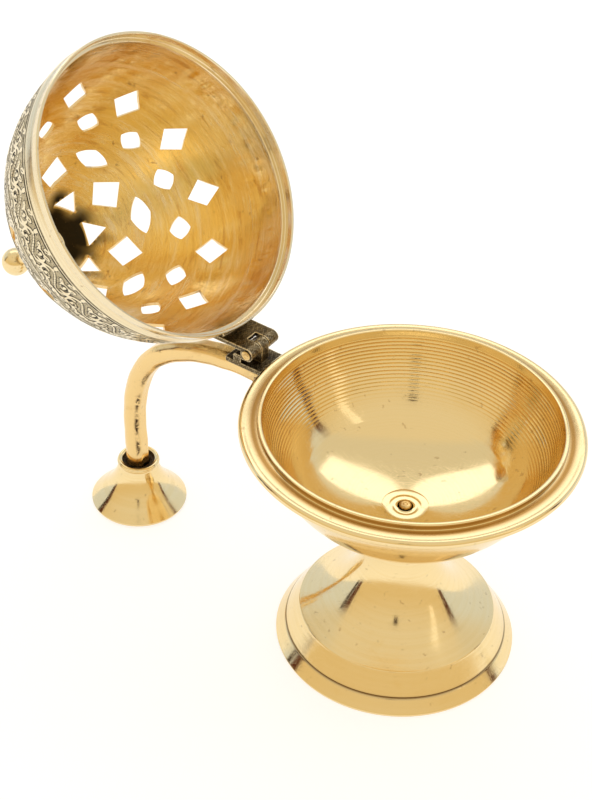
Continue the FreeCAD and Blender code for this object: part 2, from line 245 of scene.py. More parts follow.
def opened(xyz):
    """Points of the closed lid turned about the hinge pin to the open position: the
    pin's distance along X and Z turns by the opening angle, from +X towards +Z."""
    x = xyz[..., 0] - HINGE_POINT[0]
    z = xyz[..., 2] - HINGE_POINT[2]
    c, s = cos(LID_OPEN), sin(LID_OPEN)
    return np.stack([x * c - z * s + HINGE_POINT[0], xyz[..., 1], x * s + z * c + HINGE_POINT[2]], -1)


def wobble(xyz, size, seed):
    """Soft uneven field in -1..1: six plane waves in seeded directions, added up."""
    rng = np.random.default_rng(seed)
    k = rng.normal(size=(6, 3))
    k *= (2 * pi / size) / np.linalg.norm(k, axis=1)[:, None] * rng.uniform(0.6, 1.6, (6, 1))
    phase = rng.uniform(0, 2 * pi, 6)
    return np.sin(xyz @ k.T + phase).sum(-1) / 3.0


# Materials --------------------------------------------------------------

MIX_FIRST, MIX_SECOND, MIX_COLOUR = 6, 7, 2   # the colour sockets of a Mix node


def group(name, inputs, outputs):
    """An empty shader node group. Each input has a name and its first number, or None
    for a place; every output is a number. Gives the tree and its two ends."""
    tree = bpy.data.node_groups.new(name, "ShaderNodeTree")
    for label, first in inputs:
        kind = "NodeSocketVector" if first is None else "NodeSocketFloat"
        socket = tree.interface.new_socket(label, in_out="INPUT", socket_type=kind)
        if first is not None:
            socket.default_value = first
    for label in outputs:
        tree.interface.new_socket(label, in_out="OUTPUT", socket_type="NodeSocketFloat")
    return tree, tree.nodes.new("NodeGroupInput").outputs, tree.nodes.new("NodeGroupOutput").inputs


def fed(tree, socket, value):
    """Feed a socket from another socket, or give it a number or a colour."""
    if isinstance(value, bpy.types.NodeSocket):
        tree.links.new(value, socket)
    elif isinstance(value, tuple) and socket.type == "RGBA":
        socket.default_value = (*value, 1.0)
    else:
        socket.default_value = value


def calc(tree, kind, *values, clamp=False):
    """One step of arithmetic on numbers or sockets."""
    node = tree.nodes.new("ShaderNodeMath")
    node.operation = kind
    node.use_clamp = clamp
    for socket, value in zip(node.inputs, values):
        fed(tree, socket, value)
    return node.outputs[0]


def added(tree, total, part, weight):
    """The total plus a weighted part."""
    return calc(tree, "ADD", total, calc(tree, "MULTIPLY", part, weight))


def ramp(tree, value, low, high, to_low=0.0, to_high=1.0):
    """Value mapped from low..high to to_low..to_high, smoothly and clamped."""
    node = tree.nodes.new("ShaderNodeMapRange")
    node.interpolation_type = "SMOOTHSTEP"
    keys = ("Value", "From Min", "From Max", "To Min", "To Max")
    for key, number in zip(keys, (value, low, high, to_low, to_high)):
        fed(tree, node.inputs[key], number)
    return node.outputs["Result"]


def noise(tree, place, scale, detail, rough=0.5, distortion=0.0, dims="3D"):
    """Layered noise over a place, or along one length when dims is 1D."""
    node = tree.nodes.new("ShaderNodeTexNoise")
    node.noise_dimensions = dims
    values = (("W" if dims == "1D" else "Vector", place), ("Scale", scale), ("Detail", detail),
              ("Roughness", rough), ("Distortion", distortion))
    for key, value in values:
        fed(tree, node.inputs[key], value)
    return node.outputs["Fac"]


def mixed(tree, factor, first, second):
    """The first colour turned into the second by a factor."""
    node = tree.nodes.new("ShaderNodeMix")
    node.data_type = "RGBA"
    for index, value in ((0, factor), (MIX_FIRST, first), (MIX_SECOND, second)):
        fed(tree, node.inputs[index], value)
    return node.outputs[MIX_COLOUR]


def painted(tree, layer):
    """What a piece's own attribute says at each point."""
    node = tree.nodes.new("ShaderNodeAttribute")
    node.attribute_name = layer
    return node.outputs["Fac"]


def wrapped(tree):
    """The lid's own flat map of its wall."""
    node = tree.nodes.new("ShaderNodeUVMap")
    node.uv_map = "around"
    return node.outputs[0]


def shifted(tree, place, **settings):
    """A place moved, turned or stretched."""
    node = tree.nodes.new("ShaderNodeMapping")
    tree.links.new(place, node.inputs["Vector"])
    for key, value in settings.items():
        node.inputs[key].default_value = value
    return node.outputs[0]


def tarnish_group():
    """Brown spots and soft olive patches: two noises, each cut off at a level."""
    tree, given, shown = group("tarnish", [("Vector", None), ("Scale", 60.0), ("Amount", 0.4)],
                               ["Patches", "Spots"])
    patches = noise(tree, given["Vector"], given["Scale"], 6.0, 0.6, 0.4)
    level = calc(tree, "MULTIPLY_ADD", given["Amount"], -0.28, 0.70)
    soft = ramp(tree, patches, level, calc(tree, "ADD", level, 0.22))
    specks = noise(tree, given["Vector"], calc(tree, "MULTIPLY", given["Scale"], 9.0), 3.0, 0.5, 0.2)
    spots = calc(tree, "MULTIPLY", ramp(tree, specks, 0.66, 0.74), given["Amount"])
    tree.links.new(soft, shown["Patches"])
    tree.links.new(spots, shown["Spots"])


def turning_group():
    """Fine turning lines: noise along one length only, coarse lines on a finer set."""
    tree, given, shown = group("turning lines", [("Along", 0.0), ("Per metre", 900.0)], ["Height", "Mask"])
    finer = calc(tree, "MULTIPLY", given["Per metre"], 4.1)
    coarse = noise(tree, given["Along"], given["Per metre"], 2.0, dims="1D")
    fine = noise(tree, given["Along"], finer, 2.0, 0.6, dims="1D")
    both = added(tree, calc(tree, "MULTIPLY", coarse, 0.6), fine, 0.4)
    tree.links.new(both, shown["Height"])
    tree.links.new(ramp(tree, both, 0.42, 0.62), shown["Mask"])


def handling_group():
    """Hairline scratches and smudges: stretched noise bands and a broad soft noise."""
    tree, given, shown = group("handling marks", [("Vector", None), ("Scale", 400.0)],
                               ["Scratches", "Smudges"])
    bands = []
    for turn, stretch in (((0.3, 0.2, 0.5), (1, 14, 1)), ((1.1, 0.7, 2.2), (12, 1, 1))):
        place = shifted(tree, given["Vector"], Rotation=turn, Scale=stretch)
        bands.append(ramp(tree, noise(tree, place, given["Scale"], 2.0, 0.5, 0.3), 0.60, 0.66))
    broad = calc(tree, "MULTIPLY", given["Scale"], 0.12)
    tree.links.new(calc(tree, "MAXIMUM", *bands), shown["Scratches"])
    tree.links.new(noise(tree, given["Vector"], broad, 5.0, 0.6, 0.6), shown["Smudges"])


def grit_group():
    """Grit of a cast surface: one fine noise."""
    tree, given, shown = group("cast grit", [("Vector", None)], ["Height"])
    tree.links.new(noise(tree, given["Vector"], 1400.0, 5.0, 0.65), shown["Height"])


def patch_group():
    """A patch with a broken edge: the given amount, times a noise cut off at a level."""
    tree, given, shown = group("broken patch", [("Vector", None), ("Amount", 1.0), ("Cutoff", 0.3)], ["Mask"])
    broken = noise(tree, given["Vector"], 900.0, 3.0, 0.6)
    kept = ramp(tree, broken, given["Cutoff"], calc(tree, "ADD", given["Cutoff"], 0.22))
    tree.links.new(calc(tree, "MULTIPLY", given["Amount"], kept, clamp=True), shown["Mask"])


def placed(tree, shared, **inputs):
    """A shared group placed in a material, with its inputs set or linked."""
    node = tree.nodes.new("ShaderNodeGroup")
    node.node_tree = bpy.data.node_groups[shared]
    for key, value in inputs.items():
        fed(tree, node.inputs[key.replace("_", " ")], value)
    return node.outputs


def metal(name, colour, deep, spot, rough, tarnish=0.4, scale=60.0, spread=0.10, scratch=0.00001,
          lines=None, line_depth=0.0, engraved=False, grit=0.0, brushed=0.0, marked=None, reflection_streaked=False):
    """A worn metal: base colour deepened in patches and specks, roughness from smudges, and a bump from
    scratches and, where asked, turning lines and grit.
    Heights are in metres. lines gives the turning lines; marked gives an attribute, the
    colour and added roughness where it is painted, and the level that breaks its edge."""
    material = bpy.data.materials.new(name)
    material.use_nodes = True
    tree = material.node_tree
    shader = tree.nodes["Principled BSDF"].inputs
    shader["Metallic"].default_value = 1.0
    shader["Anisotropic"].default_value = brushed
    shader["Anisotropic Rotation"].default_value = 0.25
    place = tree.nodes.new("ShaderNodeTexCoord").outputs["Object"]
    worn = placed(tree, "tarnish", Vector=place, Scale=scale, Amount=tarnish)
    handled = placed(tree, "handling marks", Vector=place, Scale=scale * 6)
    tint = mixed(tree, worn["Patches"], colour, deep)
    tint = mixed(tree, worn["Spots"], tint, spot)
    smudge = ramp(tree, handled["Smudges"], 0.35, 0.70, rough - spread / 2, rough + spread)
    roughness = calc(tree, "MULTIPLY_ADD", worn["Patches"], 0.10, smudge)
    height = calc(tree, "MULTIPLY", handled["Scratches"], scratch)
    if lines:
        cut = placed(tree, "turning lines", Along=distance(tree, place, lines), Per_metre=lines["per_metre"])
        height = added(tree, height, cut["Height"], line_depth)
        roughness = added(tree, roughness, cut["Mask"], 0.05)
        tint = mixed(tree, calc(tree, "MULTIPLY", cut["Mask"], 0.22), tint, deep)
    if grit:
        height = added(tree, height, placed(tree, "cast grit", Vector=place)["Height"], grit)
    # Painted reflection streaks, pale and deep, on the lid's inside
    if reflection_streaked:
        tint, roughness, height = reflection_streaks(tree, tint, roughness, height)
    if marked:
        layer, shade, rougher, cutoff = marked
        mask = placed(tree, "broken patch", Vector=place, Amount=painted(tree, layer), Cutoff=cutoff)["Mask"]
        tint = mixed(tree, mask, tint, shade)
        roughness = added(tree, roughness, mask, rougher)
    if engraved:
        tint, roughness, height = engraving(tree, tint, roughness, height)
    tree.links.new(tint, shader["Base Color"])
    tree.links.new(roughness, shader["Roughness"])
    bump = tree.nodes.new("ShaderNodeBump")
    bump.inputs["Strength"].default_value = 0.6
    bump.inputs["Distance"].default_value = 1.0
    tree.links.new(height, bump.inputs["Height"])
    tree.links.new(bump.outputs[0], shader["Normal"])


def reflection_streaks(tree, tint, roughness, height):
    """Painted reflection streaks: two sets of noise stretched along slanting bands round the lid, painted
    paler and a little rougher where both run high, and darker along one set, with a faint bump."""
    streaks = []
    for turn, start in ((0.55, 0.0), (-0.35, 7.0)):
        place = shifted(tree, wrapped(tree), Location=(start, start, 0.0), Rotation=(0.0, 0.0, turn),
                        Scale=(0.22, 2.4, 1.0))
        streaks.append(noise(tree, place, 1.6, 7.0, 0.72, 0.8))
    both = calc(tree, "MULTIPLY", *streaks)
    pale = ramp(tree, both, 0.22, 0.38)
    deep = ramp(tree, streaks[1], 0.46, 0.34)
    tint = mixed(tree, calc(tree, "MULTIPLY", pale, 0.75), tint, (0.93, 0.80, 0.56))
    tint = mixed(tree, calc(tree, "MULTIPLY", deep, 0.55), tint, (0.56, 0.32, 0.11))
    return tint, added(tree, roughness, pale, 0.10), added(tree, height, both, 0.00016)


def distance(tree, place, lines):
    """Length that the turning lines follow: how far from an upright axis, plus height,
    or the length along the outline where the piece carries it."""
    if "attribute" in lines:
        return painted(tree, lines["attribute"])
    split = tree.nodes.new("ShaderNodeSeparateXYZ")
    tree.links.new(shifted(tree, place, Location=(-lines.get("axis_x", 0.0), 0, 0)), split.inputs[0])
    x, y, z = split.outputs
    squares = calc(tree, "ADD", calc(tree, "MULTIPLY", x, x), calc(tree, "MULTIPLY", y, y))
    return calc(tree, "ADD", calc(tree, "SQRT", squares), z)


def engraving(tree, tint, roughness, height):
    """Raised shapes with a dark outline and a vein, on a ground of fine curling cuts."""
    level = painted(tree, "relief")
    place = wrapped(tree)
    curl = noise(tree, place, 2.6, 2.0, 0.5, 1.8)
    stripes = calc(tree, "ABSOLUTE", calc(tree, "SINE", calc(tree, "MULTIPLY", curl, 85.0)))
    stipple = noise(tree, place, 34.0, 2.0)
    outside = ramp(tree, level, -0.16, -0.26)
    hatch = calc(tree, "MULTIPLY", ramp(tree, stripes, 0.46, 0.26), outside)
    dots = calc(tree, "MULTIPLY", ramp(tree, stipple, 0.60, 0.66), outside)
    outline = ramp(tree, calc(tree, "ABSOLUTE", calc(tree, "ADD", level, 0.10)), 0.17, 0.09)
    vein = ramp(tree, calc(tree, "ABSOLUTE", calc(tree, "SUBTRACT", level, 0.62)), 0.10, 0.05)
    black = calc(tree, "MAXIMUM", calc(tree, "MAXIMUM", outline, vein), calc(tree, "MAXIMUM", hatch, dots))
    rubbed = ramp(tree, noise(tree, place, 1.3, 4.0, 0.6), 0.30, 0.52, 0.45, 1.0)
    black = calc(tree, "MULTIPLY", black, rubbed)
    tint = mixed(tree, calc(tree, "MULTIPLY", outside, 0.55), tint, (0.45, 0.36, 0.19))
    tint = mixed(tree, black, tint, (0.028, 0.024, 0.018))
    return tint, added(tree, roughness, black, 0.40), added(tree, height, black, -0.00010)


# Ornament on the dome ---------------------------------------------------

PATTERN_TURN = -14.0
PUNCH_HALF = 6.0
# Each ring: radius, height and lean of its holes, how many, the first one's angle, the
# corners of a hole in millimetres, and whether its sides are bowed.
HOLE_RINGS = [
    (37.6, 31.2, 36.0, 12, 0.0, [(4.5, 0.3), (0.0, 5.6), (-4.5, 0.3), (0.0, -4.6)], False),
    (32.0, 39.2, 42.0, 12, 15.0, [(3.9, 0.3), (0.0, 3.6), (-3.9, 0.3), (0.0, -3.2)], True),
    (24.7, 47.9, 47.0, 6, 0.0, [(5.9, 0.4), (0.0, 3.6), (-5.9, 0.4), (0.0, -3.2)], True),
    (19.8, 52.6, 47.0, 6, 30.0, [(5.3, 0.3), (0.0, 6.3), (-5.3, 0.3), (0.0, -5.0)], False),
    (12.9, 59.2, 46.0, 6, 0.0, [(4.0, -2.0), (0.0, 4.6), (-4.0, -2.0)], False),
]


def hole_outline(corners, curved, grow=1.0, count=9):
    """The outline of one pierced hole: straight or bowed sides between its corners."""
    p = np.array(corners, float) * grow
    q = np.roll(p, -1, 0)
    t = np.linspace(0, 1, count, endpoint=False)[:, None]
    bow = 0.09 if curved else 0.0
    sides = [a + (b - a) * t + bow * (a + b) * 4 * t * (1 - t) for a, b in zip(p, q)]
    return np.concatenate(sides)


def stroke(points, width_from, width_to):
    """A line drawn with a round nib: points every 0.2 mm and the nib's half width there."""
    p = subdivided(points, 0.2)
    w = np.linspace(width_from, width_to, len(p)) / 2
    return np.column_stack([p, w])


def scroll(centre, size, turns, start, hand, width=0.9):
    """Scroll: its radius shrinks evenly to a seventh of its size as the angle winds round."""
    t = np.linspace(0, 1, 90)
    a = radians(start) + hand * 2 * pi * turns * t
    r = size * (1 - 0.86 * t)
    line = np.stack([centre[0] + r * np.cos(a), centre[1] + r * np.sin(a)], 1)
    return np.concatenate([stroke(line, width, width * 0.7), [[*line[-1], width * 0.75]]])


def leaf(base, length, width, lean, curl=0.0):
    """Leaf: a bent midline with a nib that swells and narrows, widest at two fifths."""
    t = np.linspace(0, 1, max(int(length / 0.2), 6))
    a = radians(lean) + radians(curl) * t
    step = length / len(t)
    x = base[0] + np.cumsum(np.cos(a)) * step
    y = base[1] + np.cumsum(np.sin(a)) * step
    return np.column_stack([x, y, width / 2 * np.sin(pi * t ** 0.75) + 0.08])


def vine(height, swing, period_mm, count):
    """Stem of the border: a sine wave right along it, drawn with an even nib."""
    x = np.linspace(0, period_mm * count, 160 * count)
    return np.column_stack([x, height + swing * np.sin(2 * pi * x / period_mm), np.full(len(x), 0.42)])


def ornament(at_height, radius_at):
    """Engraved shapes of one sixth of the dome, as nib marks: angle in degrees, length up
    the wall and half width. Motifs are drawn in millimetres and wrapped by the radius."""
    marks = []

    def stamp(angle, motif, mirrored=False):
        side = -1.0 if mirrored else 1.0
        r = radius_at(motif[:, 1])
        marks.append(np.column_stack([angle + side * np.degrees(motif[:, 0] / r), motif[:, 1:]]))

    border_r = float(radius_at(np.array([8.5]))[0])
    period = radians(15.0) * border_r
    stem = vine(8.6, 3.1, period, 4)
    marks.append(np.column_stack([np.degrees(stem[:, 0] / border_r), stem[:, 1:]]))
    for k in range(4):
        angle = 15.0 * k + 3.75
        low, high = (0.0, 7.0), (0.0, 10.4)
        stamp(angle, scroll(low, 2.7, 1.35, 100, 1))
        stamp(angle + 7.5, scroll(high, 2.7, 1.35, 280, 1))
        for base, lean, curl in (((-3.2, 3.6), 60, -60), ((2.9, 3.9), 110, 60), ((0.6, 3.4), 200, 50)):
            stamp(angle, leaf(base, 3.1, 1.5, lean, curl))
            stamp(angle + 7.5, leaf((base[0], 17.4 - base[1]), 3.1, 1.5, -lean, -curl))
        stamp(angle, leaf((-1.2, 12.6), 2.6, 1.3, 100, 40))
        stamp(angle, leaf((1.3, 12.6), 2.6, 1.3, 80, -40))
        stamp(angle, leaf((0.0, 12.4), 3.4, 1.3, 90, 0))
        stamp(angle + 7.5, leaf((0.0, 4.9), 3.2, 1.3, -90, 0))
    for k in range(2):
        angle = PATTERN_TURN + 30.0 * k + 15.0
        for petal in range(8):
            stamp(angle, leaf((0.0, 24.6), 3.5, 1.7, 45 * petal + 22.5))
        stamp(angle, np.array([[0.0, 24.6, 0.75]]))
        for mirrored in (False, True):
            stamp(angle, scroll((4.6, 20.2), 1.9, 1.4, 180, -1, 0.8), mirrored)
            stamp(angle, leaf((1.2, 29.0), 4.6, 1.8, 62, -40), mirrored)
            stamp(angle, leaf((6.8, 21.3), 4.4, 1.8, 60, 50), mirrored)
            stamp(angle - 15.0, scroll((3.1, 20.4), 2.0, 1.4, 200, 1, 0.8), mirrored)
            stamp(angle - 15.0, leaf((0.9, 18.2), 2.8, 1.3, 10, 60), mirrored)
            stamp(angle - 15.0, leaf((1.1, 35.6), 3.6, 1.6, 40, 60), mirrored)
        stamp(angle - 15.0, leaf((0.0, 34.8), 4.6, 1.7, 90))
    for mirrored in (False, True):
        stamp(PATTERN_TURN + 30.0, leaf((0.8, 43.2), 4.2, 1.7, 20, 70), mirrored)
        stamp(PATTERN_TURN + 30.0, leaf((5.4, 46.4), 3.6, 1.5, 60, 50), mirrored)
        stamp(PATTERN_TURN, leaf((1.4, 55.0), 3.4, 1.5, 40, 60), mirrored)
        stamp(PATTERN_TURN + 30.0, leaf((1.0, 60.6), 3.2, 1.4, 40, 50), mirrored)
    for _, height, _, count, first, corners, curved in HOLE_RINGS:
        frame_line = hole_outline(corners, curved, 1.30, 10)
        frame_line = np.concatenate([frame_line, frame_line[:1]])
        rows = stroke(np.stack([frame_line[:, 0], at_height(height) - frame_line[:, 1]], 1), 0.62, 0.62)
        for index in range(count // 6):
            stamp(first + PATTERN_TURN + index * 360.0 / count, rows)
    return np.concatenate(marks)


BORDER_BANDS = [(1.1, 0.35), (2.2, 0.22), (16.9, 0.40), (40.6, 0.30), (58.3, 0.30), (66.4, 0.35)]


def relief(angles, lengths, radii, marks):
    """How far inside (plus) or outside (minus) the engraved shapes a point is, in mm: the
    largest of nib half width less distance, and the same for the rings round the dome."""
    depth = np.full((len(lengths), len(angles)), -1.2)
    for row, (length, radius) in enumerate(zip(lengths, radii)):
        near = marks[np.abs(marks[:, 1] - length) < 2.6]
        if len(near):
            turn = (angles[:, None] - near[None, :, 0] + 30.0) % 60.0 - 30.0
            gap = np.hypot(np.radians(turn) * radius, near[None, :, 1] - length)
            depth[row] = np.maximum(depth[row], (near[None, :, 2] - gap).max(1))
        for height, half in BORDER_BANDS:
            depth[row] = np.maximum(depth[row], half - abs(length - height))
    return depth


def wall_offset(points, distance):
    """The wall's outer outline: inside points moved along the normal of their curve."""
    dense = smooth(points, 1200)
    tangent = np.gradient(dense, axis=0)
    tangent /= np.linalg.norm(tangent, axis=1)[:, None]
    p = np.array(points, float)
    nearest = np.argmin(np.linalg.norm(dense[None] - p[:, None], axis=2), axis=1)
    normal = np.stack([tangent[nearest, 1], -tangent[nearest, 0]], 1)
    return p + normal * distance


DOME_OUTSIDE = np.concatenate([[(LID_R, RIM_BAND)], wall_offset(DOME_INSIDE, DOME_WALL)[2:]])
CROWN_TOP = DOME_OUTSIDE[-1, 1] + 1.6


# Pieces -----------------------------------------------------------------

def joins(obj, node, body):
    """The piece stands for its CAD node, which is hidden, and rides on its body."""
    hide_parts(node)
    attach(obj, body)
    return obj


def build_bowl(look):
    """Bowl: the lathe outline, with cusped turning grooves on its upper wall."""
    inside = smooth(BOWL_INSIDE, 800)
    length = run_length(inside)
    top = length[-1]
    grooves_from, lip_from = top - 24.0, top - 1.2
    below = np.linspace(0, grooves_from, 46)
    grooved = np.arange(grooves_from, lip_from, 0.13)
    s = np.concatenate([below, grooved[1:], np.linspace(lip_from, top, 6)[1:]])
    wall = resampled(inside, length, s)
    window = np.clip((s - (top - 22.5)) / 9.0, 0, 1) * np.clip((top - 1.4 - s) / 1.0, 0, 1)
    cusp = np.abs(np.sin(pi * s / look.groove_pitch)) - 0.64
    wall[:, 0] += look.groove_depth * cusp * window
    faint = np.exp(-((s - np.interp(60.2, inside[:, 1], length)) / 0.35) ** 2)
    wall[:, 1] -= 0.10 * faint
    outline = chain(
        [(2.4, 51.4), (2.7, 51.25), (3.4, 51.2), (3.7, 51.3), (4.6, 51.3), (5.0, 51.22), (6.7, 51.4)],
        [(7.0, 51.5)],
        wall,
        arc(43.68, 83.92, 0.38, 180, 90, 6),
        arc(44.15, 83.95, 0.35, 90, 0, 6),
        [(44.5, 82.55)],
        arc(44.7, 82.5, 0.2, 180, 270, 4),
        [(45.4, 82.3), (46.1, 82.28), (46.9, 82.24), (47.7, 82.21), (48.3, 82.24)],
        arc(48.8, 81.1, 1.2, 90, -90, 16),
        subdivided([(48.6, 79.9), (45.6, 79.72)], 0.8),
        smooth(BOWL_OUTSIDE, 70),
        [(9.2, 46.4), (8.8, 46.0), (2.4, 46.0), (2.4, 49.0)],
    )
    xyz = turned(outline, 256)
    xyz[..., 2] += 0.5 * wobble(xyz, 26.0, 5) * look.unevenness
    out = np.hypot(xyz[..., 0], xyz[..., 1])
    # Painted shade: a dark golden-brown band on the flange beside the lip, where the flat flange would
    # otherwise mirror the bright lamp
    ledge = np.clip((out - 44.5) / 0.4, 0, 1) * np.clip((47.1 - out) / 0.5, 0, 1) * (xyz[..., 2] > 81.6)
    brass = bpy.data.materials["bowl brass"]
    obj = grid_object("bowl_turned", xyz, True, True, brass, values={"ledge": ledge})
    return joins(obj, "bowl", "base")


def build_foot():
    """Pedestal: skirt with a bright turned groove, concave flare and a hollow underside."""
    outline = chain(
        [(34.1, 0.0), (36.6, 0.0), (36.85, 0.2), (37.0, 0.55), (37.0, 1.0)],
        subdivided([(37.0, 1.0), (34.3, 4.8)], 0.5),
        [(34.1, 4.98), (33.68, 5.12), (33.6, 5.25), (33.85, 5.42)],
        subdivided([(33.9, 5.5), (30.35, 11.5)], 0.5),
        [(30.22, 11.75), (30.12, 11.95), (29.97, 12.08)],
        smooth(FOOT_FLARE, 110),
        [(2.1, 46.0), (2.1, 33.0), (2.3, 32.0), (6.5, 32.0)],
        smooth(FOOT_HOLLOW, 30),
        [(33.0, 6.0)],
    )
    xyz = turned(outline, 224)
    groove = np.exp(-((xyz[..., 2] - 5.15) / 0.28) ** 2) * (np.hypot(xyz[..., 0], xyz[..., 1]) > 33.4)
    brass = bpy.data.materials["pedestal brass"]
    obj = grid_object("pedestal_turned", xyz, True, True, brass, values={"ledge": groove})
    return joins(obj, "pedestal_foot", "base")


def build_stud():
    """Stud: domed end with a punched centre, shank, and a peened disc under the neck."""
    outline = chain(
        [(0.0, 52.0), (0.45, 52.05), (0.7, 52.3), (1.2, 52.35), (1.6, 52.2), (1.85, 51.9), (1.9, 51.5)],
        [(1.9, 40.0), (1.9, 32.0), (4.0, 32.0), (4.2, 31.7), (4.2, 30.2)],
        [(3.8, 29.5), (2.4, 29.1), (0.0, 29.0)],
    )
    obj = grid_object("stud_turned", turned(outline, 48), True, False, bpy.data.materials["stud brass"])
    return joins(obj, "centre_stud", "base")


def bowl_side(height):
    """Outer radius of the bowl's wall at a height."""
    wall = smooth(BOWL_OUTSIDE, 200)[::-1]
    return np.interp(height, wall[:, 1], wall[:, 0])


def outside_bowl(xyz, sink):
    """Points pushed back to a little under the bowl's outer wall, on the hinge side."""
    radius = bowl_side(np.minimum(xyz[..., 2], 79.6)) - sink
    limit = -np.sqrt(np.maximum(radius ** 2 - xyz[..., 1] ** 2, 0.0))
    xyz[..., 0] = np.minimum(xyz[..., 0], limit)
    return xyz


def build_handle():
    """Rod: a round section with two filed flats carried along the route. At each place
    the section lies across the route; its radius swells softly and the root is flattened."""
    path = smooth(ROD_ROUTE, 260)
    tangent = np.gradient(path, axis=0)
    tangent /= np.linalg.norm(tangent, axis=1)[:, None]
    normal = np.stack([-tangent[:, 1], tangent[:, 0]], 1)
    a = np.linspace(0, 2 * pi, 64, endpoint=False)
    along = np.linspace(0, 1, len(path))
    up = np.clip(ROD_R * np.cos(a), -ROD_FLAT, ROD_FLAT)
    side = ROD_R * np.sin(a)
    swell = 1.0 + 0.012 * np.sin(along * 31.0) + 0.010 * np.sin(along * 83.0 + 1.0)
    ends = np.clip(np.minimum(along, 1 - along) / 0.006, 0, 1) ** 0.5
    section = (swell * ends)[:, None]
    x = path[:, 0][:, None] + normal[:, 0][:, None] * up * section
    z = path[:, 1][:, None] + normal[:, 1][:, None] * up * section
    y = side * section
    xyz = outside_bowl(np.stack([x, y, z], -1), 0.8)
    xyz[..., 1] += 0.05 * wobble(xyz, 9.0, 3)
    # Dark along the rod's inner side facing the bowl, in patches, and at its root by the bowl: grime, with
    # painted shade along that side and at the root
    inner_edge = np.exp(-((a - radians(318)) / 0.16) ** 2)[None, :]
    inner_edge = inner_edge * np.clip((along - 0.42) / 0.1, 0, 1)[:, None]
    root = np.clip((0.16 - along) / 0.10, 0, 1)[:, None] * np.ones_like(a)[None, :]
    patchy = 0.5 + 0.5 * wobble(xyz, 7.0, 41)
    grime_and_shade = np.clip(inner_edge * patchy * 1.6 + 0.55 * root, 0, 1)
    brass = bpy.data.materials["rod brass"]
    obj = grid_object("handle_filed", xyz, True, False, brass, values={"grime_and_shade": grime_and_shade})
    return joins(obj, "handle_rod", "base")


def build_brazing():
    """Lump of brazing: an ellipsoid roughened by two soft fields, cut level under the leaf."""
    t = np.linspace(0.0, pi, 90)[:, None]
    a = np.linspace(0, 2 * pi, 140, endpoint=False)[None, :]
    unit = np.stack([np.sin(t) * np.cos(a), np.sin(t) * np.sin(a), np.cos(t) * np.ones_like(a)], -1)
    smooth_lump = unit * BRAZE_SIZE
    base = smooth_lump + BRAZE_AT
    rough = 1.0 + 0.035 * wobble(base, 3.2, 11) + 0.022 * wobble(base, 1.3, 12)
    xyz = smooth_lump * rough[..., None] + BRAZE_AT
    xyz[..., 2] = np.minimum(xyz[..., 2], LEAF_UNDER)
    obj = grid_object("brazing_lump", outside_bowl(xyz, 0.6), True, False, bpy.data.materials["brazing"])
    return joins(obj, "handle_brazing", "base")


def build_bell():
    """Bell foot: trumpet outline with a beaded top edge and a socket for the rod."""
    outline = chain(
        [(0.0, 0.0), (15.3, 0.0), (15.7, 0.2), (15.9, 0.6)],
        smooth(BELL_FLARE, 60),
        [(6.55, 15.4), (6.8, 15.7)],
        arc(6.6, 16.2, 0.4, -30, 60, 6),
        [(6.8, 16.8)],
        arc(6.3, 16.75, 0.45, 20, 150, 8),
        [(5.45, 16.7), (5.3, 16.2), (5.3, 14.4), (3.9, 14.4)],
        [(3.8, 14.2), (3.8, 6.0), (0.0, 6.0)],
    )
    xyz = turned(outline, 144, BELL_X)
    obj = grid_object("bell_turned", xyz, True, False, bpy.data.materials["bell brass"])
    return joins(obj, "bell_foot", "base")


def build_packing():
    """Solder ring: a dished, slightly lumpy top between the rod and the socket."""
    outline = chain([(5.27, 14.45), (5.27, 15.6), (5.0, 15.3), (4.5, 15.15), (4.1, 15.35), (3.82, 15.75)],
                    [(3.82, 14.45)])
    xyz = turned(outline, 96, BELL_X)
    xyz[..., 2] += np.clip(0.05 * wobble(xyz, 2.2, 9), -0.05, 0.05)
    obj = grid_object("solder_ring", xyz, True, True, bpy.data.materials["dark solder"])
    return joins(obj, "bell_packing", "base")


def dome_outline():
    """Closed outline of the dome's wall with, for every point, its material row and its length up the outer
    wall (or -1 off it)."""
    outer = smooth(DOME_OUTSIDE, 1000)
    length = run_length(outer)
    s = np.linspace(0, length[-1], 128)
    outer = resampled(outer, length, s)
    inner = smooth(DOME_INSIDE, 56)[::-1]
    band = chain([(46.3, 0.3), (46.3, 2.4), (46.22, 2.55), (46.22, 2.75), (46.3, 2.9)], [(46.3, 5.8)])
    crown = np.array([(4.9, CROWN_TOP - 0.5), (4.6, CROWN_TOP), (2.15, CROWN_TOP), (2.15, 66.0)])
    edge = np.array([(44.1, 4.2), (44.1, 3.45), (44.3, 3.2), (45.2, 3.2), (45.35, 3.05), (45.35, 1.6),
                     (45.4, 0.25), (45.6, 0.0), (46.05, 0.0)])
    runs = [band, outer, crown, inner, edge]
    rows = np.concatenate([np.full(len(run), slot) for run, slot in zip(runs, WALL_SLOTS)])
    up = np.concatenate([np.full(len(band), -1.0), s, np.full(len(crown) + len(inner) + len(edge), -1.0)])
    return np.concatenate(runs), rows, up


